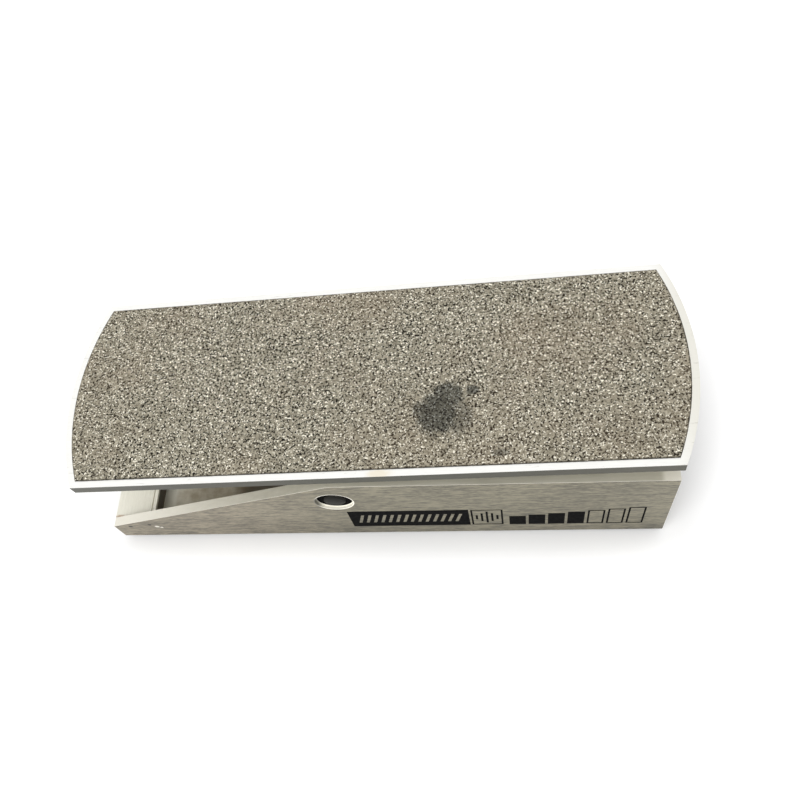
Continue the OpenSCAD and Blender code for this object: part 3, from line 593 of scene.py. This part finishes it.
def tape_plan():
    """The CAD tape in the treadle's frame: half width, tip x and corner x at toe and heel, low and high z."""
    to_local = TREADLE.inverted()
    local = [to_local @ v.co for v in frame["nodes"]["grip_tape"].data.vertices]
    half = max(p.y for p in local)
    corners = [p.x for p in local if abs(p.y) > half - 1e-5]
    return (half, (min(p.x for p in local), min(corners)), (max(p.x for p in local), max(corners)),
            min(p.z for p in local), max(p.z for p in local))


def arc_radius(half, tip, corner):
    """Radius of a shallow end arc, from its tip on the middle line and its corner at the half width."""
    sag = abs(tip - corner)
    return (half * half + sag * sag) / (2 * sag)


def arc_x(y, half, tip, corner):
    """x of a shallow end arc at y."""
    radius = arc_radius(half, tip, corner)
    drop = radius - math.sqrt(radius * radius - y * y)
    return tip - math.copysign(drop, tip)


def grit_depth(x, y):
    """Depth of the grit's surface below its highest grains, from 0 to 1."""
    coarse = noise.noise(Vector((x / (0.95 * MM), y / (0.95 * MM), 3.1)))
    fine = noise.noise(Vector((x / (0.52 * MM), y / (0.52 * MM), 9.7)))
    return min(1.0, max(0.0, 0.45 - 0.55 * coarse - 0.45 * fine))


def ragged_edge(x, y, z, high):
    """A point of the tape's cut edge, drawn in a little and lowered."""
    inward = RAGGED_MM * MM * (1 + noise.noise(Vector((x / MM, y / MM, 21.0))))
    lowered = min(z, high - CUT_EDGE_MM * MM)
    return Vector((x - math.copysign(inward, x), y - math.copysign(inward, y), lowered))


def grain_points(half, toe, heel, high, rows, columns):
    """The tape's top as rows of points from toe to heel."""
    points = []
    for j in range(rows + 1):
        y = -half + 2 * half * j / rows
        start, end = arc_x(y, half, *toe), arc_x(y, half, *heel)
        for i in range(columns + 1):
            x = start + (end - start) * i / columns
            z = high - GRIT_DEPTH_MM * MM * grit_depth(x, y)
            on_edge = i in (0, columns) or j in (0, rows)
            points.append(ragged_edge(x, y, z, high) if on_edge else Vector((x, y, z)))
    return points


def close_sheet(points, rows, columns, low):
    """Faces over a grid of points, with walls down to a flat bottom whose points it adds."""
    width = columns + 1
    faces = [(j * width + i, j * width + i + 1, (j + 1) * width + i + 1, (j + 1) * width + i)
             for j in range(rows) for i in range(columns)]
    border = (list(range(width))
              + [j * width + columns for j in range(1, rows + 1)]
              + [rows * width + i for i in range(columns - 1, -1, -1)]
              + [j * width for j in range(rows - 1, 0, -1)])
    first, count = len(points), len(border)
    points += [Vector((points[k].x, points[k].y, low)) for k in border]
    for k in range(count):
        after = (k + 1) % count
        faces.append((border[after], border[k], first + k, first + after))
    faces.append(tuple(first + k for k in range(count - 1, -1, -1)))
    return faces


def make_grip_tape():
    """A closed sheet whose top is a fine grid of grains and whose edge is slightly ragged."""
    half, toe, heel, low, high = tape_plan()
    rows = round(2 * half / (GRAIN_MM * MM))
    columns = round((heel[0] - toe[0]) / (GRAIN_MM * MM))
    points = grain_points(half, toe, heel, high, rows, columns)
    faces = close_sheet(points, rows, columns, low)
    tape = mesh_object("grit_tape", points, faces)
    tape.matrix_world = TREADLE
    tape.data.materials.append(grit(half, toe, heel))
    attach(tape, "treadle")
    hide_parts("grip_tape")


# --- printed marks on the side wall ---------------------------------------------------------

# Spans along x from the pivot and up from the base's foot, in mm
INK_MM = 0.03
PANEL = (2.8, 52.7)
SQUARE = (52.7, 66.5)
BARS = (69.0, 124.0)
PRINT_Z = (8.0, 25.8)
LINE_MM = 0.75


def printed(name, quads):
    """Thin black shapes on the near side wall's outer face; quads hold (x, z) points in mm."""
    y_out = BASE_LOW.y - INK_MM * MM / 2
    y_in = BASE_LOW.y + INK_MM * MM
    points, faces = [], []
    for quad in quads:
        first, count = len(points), len(quad)
        for y in (y_out, y_in):
            points += [(PIVOT.x + x * MM, y, BASE_LOW.z + z * MM) for x, z in quad]
        faces.append(tuple(first + k for k in range(count)))
        faces.append(tuple(first + count + k for k in range(count - 1, -1, -1)))
        for k in range(count):
            after = (k + 1) % count
            faces.append((first + after, first + k, first + count + k, first + count + after))
    made = mesh_object(name, points, faces, smooth=False)
    made.data.materials.append(INK)
    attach(made, "base")


def box_quad(x0, x1, z0, z1):
    """A rectangle's corners."""
    return [(x0, z0), (x1, z0), (x1, z1), (x0, z1)]


def outline_quads(x0, x1, z0, z1):
    """Four strips that frame a rectangle without overlapping."""
    line = LINE_MM
    return [box_quad(x0, x1, z0, z0 + line), box_quad(x0, x1, z1 - line, z1),
            box_quad(x0, x0 + line, z0 + line, z1 - line), box_quad(x1 - line, x1, z0 + line, z1 - line)]


def make_panel():
    """A black panel with a row of bare slanted ticks across its middle."""
    low, high = PRINT_Z
    band = (low + 4.6, high - 4.6)
    quads = [box_quad(*PANEL, low, band[0]), box_quad(*PANEL, band[1], high)]
    ticks, margin, lean = 14, 3, 2.2
    pitch = (PANEL[1] - PANEL[0] - 2 * margin) / ticks
    gap = pitch * 0.42
    edge, edge_lean = PANEL[0], 0.0
    for k in range(ticks):
        left = PANEL[0] + margin + k * pitch
        quads.append([(edge, band[0]), (left, band[0]), (left + lean, band[1]), (edge + edge_lean, band[1])])
        edge, edge_lean = left + gap, lean
    quads.append([(edge, band[0]), (PANEL[1], band[0]), (PANEL[1], band[1]), (edge + lean, band[1])])
    printed("print_panel", quads)


def make_square():
    """A framed square with five upright strokes, the middle one longest."""
    low, high = PRINT_Z
    frame_x = (SQUARE[0] + 0.8, SQUARE[1])
    quads = outline_quads(*frame_x, low + 0.3, high - 0.3)
    middle, mid_z = sum(frame_x) / 2, (low + high) / 2
    half_line, pitch = 0.45, 2.1
    for k, reach in ((-2, 2.4), (-1, 4.6), (0, 6.4), (1, 4.6), (2, 2.4)):
        centre = middle + k * pitch
        quads.append(box_quad(centre - half_line, centre + half_line, mid_z - reach, mid_z + reach))
    printed("print_square", quads)


def make_bars():
    """A rising row of level bars, the first ones solid and the others open."""
    low, high = PRINT_Z
    count, solid = 7, 4
    pitch = (BARS[1] - BARS[0]) / count
    width = pitch * 0.86
    full, empty = [], []
    for k in range(count):
        left = BARS[0] + k * pitch
        top = low + (high - low) * (0.55 + 0.45 * k / (count - 1))
        if k < solid:
            full.append(box_quad(left, left + width, low, top))
        else:
            empty += outline_quads(left, left + width, low, top)
    printed("print_bars_full", full)
    printed("print_bars_empty", empty)


# --- parts on the circuit board -------------------------------------------------------------

def lathe(name, profile, axis_from, axis_to, sides=20):
    """A turned solid with closed ends; profile holds (distance along the axis, radius) points."""
    along = (axis_to - axis_from).normalized()
    side = along.orthogonal().normalized()
    other = along.cross(side)
    points, faces = [], []
    for distance, radius in profile:
        for k in range(sides):
            turn = 2 * math.pi * k / sides
            spoke = side * math.cos(turn) + other * math.sin(turn)
            points.append(axis_from + along * distance + spoke * radius)
    for ring in range(len(profile) - 1):
        for k in range(sides):
            a, b = ring * sides + k, ring * sides + (k + 1) % sides
            faces.append((a, b, b + sides, a + sides))
    faces.append(tuple(range(sides - 1, -1, -1)))
    last = (len(profile) - 1) * sides
    faces.append(tuple(last + k for k in range(sides)))
    return mesh_object(name, points, faces)


def banded(name, body, bands, low_x, pitch):
    """A resistor's body colour with coloured rings across X."""
    s = Shader(name, 0.4, 0.0)
    colour = s.ramp(s.noise(900.0), (0.3, body), (0.7, tuple(1.15 * c for c in body)))
    for k, band in enumerate(bands):
        start = low_x + (k + 0.6) * pitch
        ring = s.math("MULTIPLY", s.above(s.axis("X"), start, 0.03 * MM),
                      s.remap(s.axis("X"), start + 0.45 * pitch, start + 0.5 * pitch, 1.0, 0.0))
        colour = s.mix(ring, colour, band)
    s.set(Base_Color=colour)
    return s.material


# A resistor's length, and the outline of one end of it as (distance along, radius), in mm
RESISTOR_MM = 6.2
RESISTOR_END = [(0.0, 0.5), (0.25, 1.05), (0.9, 1.15), (1.6, 0.95)]
RESISTOR_BODY = (0.55, 0.43, 0.27)
RESISTOR_BANDS = ((0.30, 0.06, 0.02), (0.01, 0.01, 0.01), (0.55, 0.30, 0.02))
# Where each lead starts and ends, from the resistor's front end, in mm
LEADS = {"front": (-2.0, 0.1), "back": (6.1, 8.2)}
LEAD_RADIUS_MM = 0.3
FILM_MM = (3.4, 7.0, 5.2)


def make_resistor(name, side):
    """An axial resistor and its two leads lie along X on one side of the board, -1 or 1."""
    low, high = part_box("circuit_board")
    start = Vector((low.x + 8 * MM, side * 14.5 * MM, high.z + 1.25 * MM))
    outline = RESISTOR_END + [(RESISTOR_MM - along, radius) for along, radius in reversed(RESISTOR_END)]
    made = lathe(name, [(along * MM, radius * MM) for along, radius in outline],
                 start, start + Vector((1, 0, 0)))
    made.data.materials.append(banded(name + "_paint", RESISTOR_BODY, RESISTOR_BANDS,
                                      start.x + 0.8 * MM, 1.4 * MM))
    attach(made, "base")
    for end, (x_from, x_to) in LEADS.items():
        a, b = (start + Vector((x * MM, 0, 0)) for x in (x_from, x_to))
        radius = LEAD_RADIUS_MM * MM
        lead = lathe(f"{name}_lead_{end}", [(0, radius), ((b - a).length, radius)], a, b, 10)
        lead.data.materials.append(NICKEL)
        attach(lead, "base")


def make_film_capacitor():
    """A small dipped block with round edges stands on the board."""
    board_low, board_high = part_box("circuit_board")
    low = Vector((board_low.x + 15.5 * MM, -11.5 * MM, board_high.z))
    size = Vector(FILM_MM) * MM
    corners = [(low.x + size.x * a, low.y + size.y * b, low.z + size.z * c)
               for c in (0, 1) for a, b in ((0, 0), (1, 0), (1, 1), (0, 1))]
    sides = [(0, 3, 2, 1), (4, 5, 6, 7), (0, 1, 5, 4), (1, 2, 6, 5), (2, 3, 7, 6), (3, 0, 4, 7)]
    film = mesh_object("film_capacitor", corners, sides)
    add_bevel(film, 0.5 * MM, 3)
    film.data.materials.append(moulded("capacitor_dipped", (0.34, 0.035, 0.02), 0.35, (0.30, 0.05, 0.03)))
    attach(film, "base")


# --- floor, light and camera ----------------------------------------------------------------

# How far the painted shadow on the floor reaches from the base's sides; it fades this share as fast beyond
# the two ends
SHADOW_MM = 22
END_SHADOW_SHARE = 0.45


def make_floor():
    """A white floor that glows a little more away from the base, which paints a shadow round the base."""
    size = 3.0
    floor = mesh_object("floor", [(-size, -size, 0), (size, -size, 0), (size, size, 0), (-size, size, 0)],
                        [(0, 1, 2, 3)], smooth=False)
    s = Shader("floor_glow_painted_shadow", 0.9, 0.0, Specular_IOR_Level=0.1)
    outside = [s.math("MAXIMUM", s.math("SUBTRACT", s.math("ABSOLUTE", s.axis(axis)), reach), 0.0)
               for axis, reach in (("X", BASE_HIGH.x), ("Y", BASE_HIGH.y))]
    outside[0] = s.math("MULTIPLY", outside[0], END_SHADOW_SHARE)
    squared = [s.math("MULTIPLY", part, part) for part in outside]
    away = s.math("SQRT", s.math("ADD", squared[0], squared[1]))
    # Painted shadow: the floor's glow rises from nothing at the base to full beyond SHADOW_MM.
    s.set(Base_Color=s.ramp(s.noise(3.0), (0.3, (0.86, 0.86, 0.86)), (0.7, (0.88, 0.88, 0.88))),
          Emission_Color=(1.0, 1.0, 1.0), Emission_Strength=s.remap(away, 0.0, SHADOW_MM * MM, 0.0, 0.34))
    floor.data.materials.append(s.material)


def area_light(name, place, target, size, power):
    data = bpy.data.lights.new(name, "AREA")
    data.shape = "RECTANGLE"
    data.size, data.size_y = size
    data.energy = power
    lamp = bpy.data.objects.new(name, data)
    bpy.context.scene.collection.objects.link(lamp)
    lamp.location = place
    lamp.rotation_euler = (Vector(target) - Vector(place)).to_track_quat("-Z", "Y").to_euler()


def make_light():
    """An even white studio and one wide soft box in front, high on the toe side."""
    world = bpy.data.worlds.new("studio")
    bpy.context.scene.world = world
    world.use_nodes = True
    world.node_tree.nodes["Background"].inputs[0].default_value = (1.0, 1.0, 1.0, 1)
    world.node_tree.nodes["Background"].inputs[1].default_value = 1.06
    area_light("key", (-0.75, -1.05, 1.05), (0, 0, 0.02), (0.9, 0.9), 11)


CAMERA_FROM_PIVOT = Vector((0.07408, -0.16384, 0.31014))
CAMERA_TURN_DEG = (28.05, 7.95, 2.01)


def make_camera():
    """The camera stands over the player's side, a little to the heel, looking steeply down at the treadle."""
    data = bpy.data.cameras.new("camera")
    data.sensor_width = 36.0
    data.lens = 37.86
    data.clip_start = 0.01
    camera = bpy.data.objects.new("camera", data)
    bpy.context.scene.collection.objects.link(camera)
    turn = Euler([math.radians(angle) for angle in CAMERA_TURN_DEG]).to_matrix().to_4x4()
    camera.matrix_world = Matrix.Translation(PIVOT + CAMERA_FROM_PIVOT) @ turn
    bpy.context.scene.camera = camera


def set_tone():
    view = bpy.context.scene.view_settings
    view.view_transform = "Standard"
    view.look = "None"


make_camera()
make_floor()
make_light()
set_tone()
dress_cad_nodes()
make_grip_tape()
make_panel()
make_square()
make_bars()
make_resistor("resistor_left", -1)
make_resistor("resistor_right", 1)
make_film_capacitor()
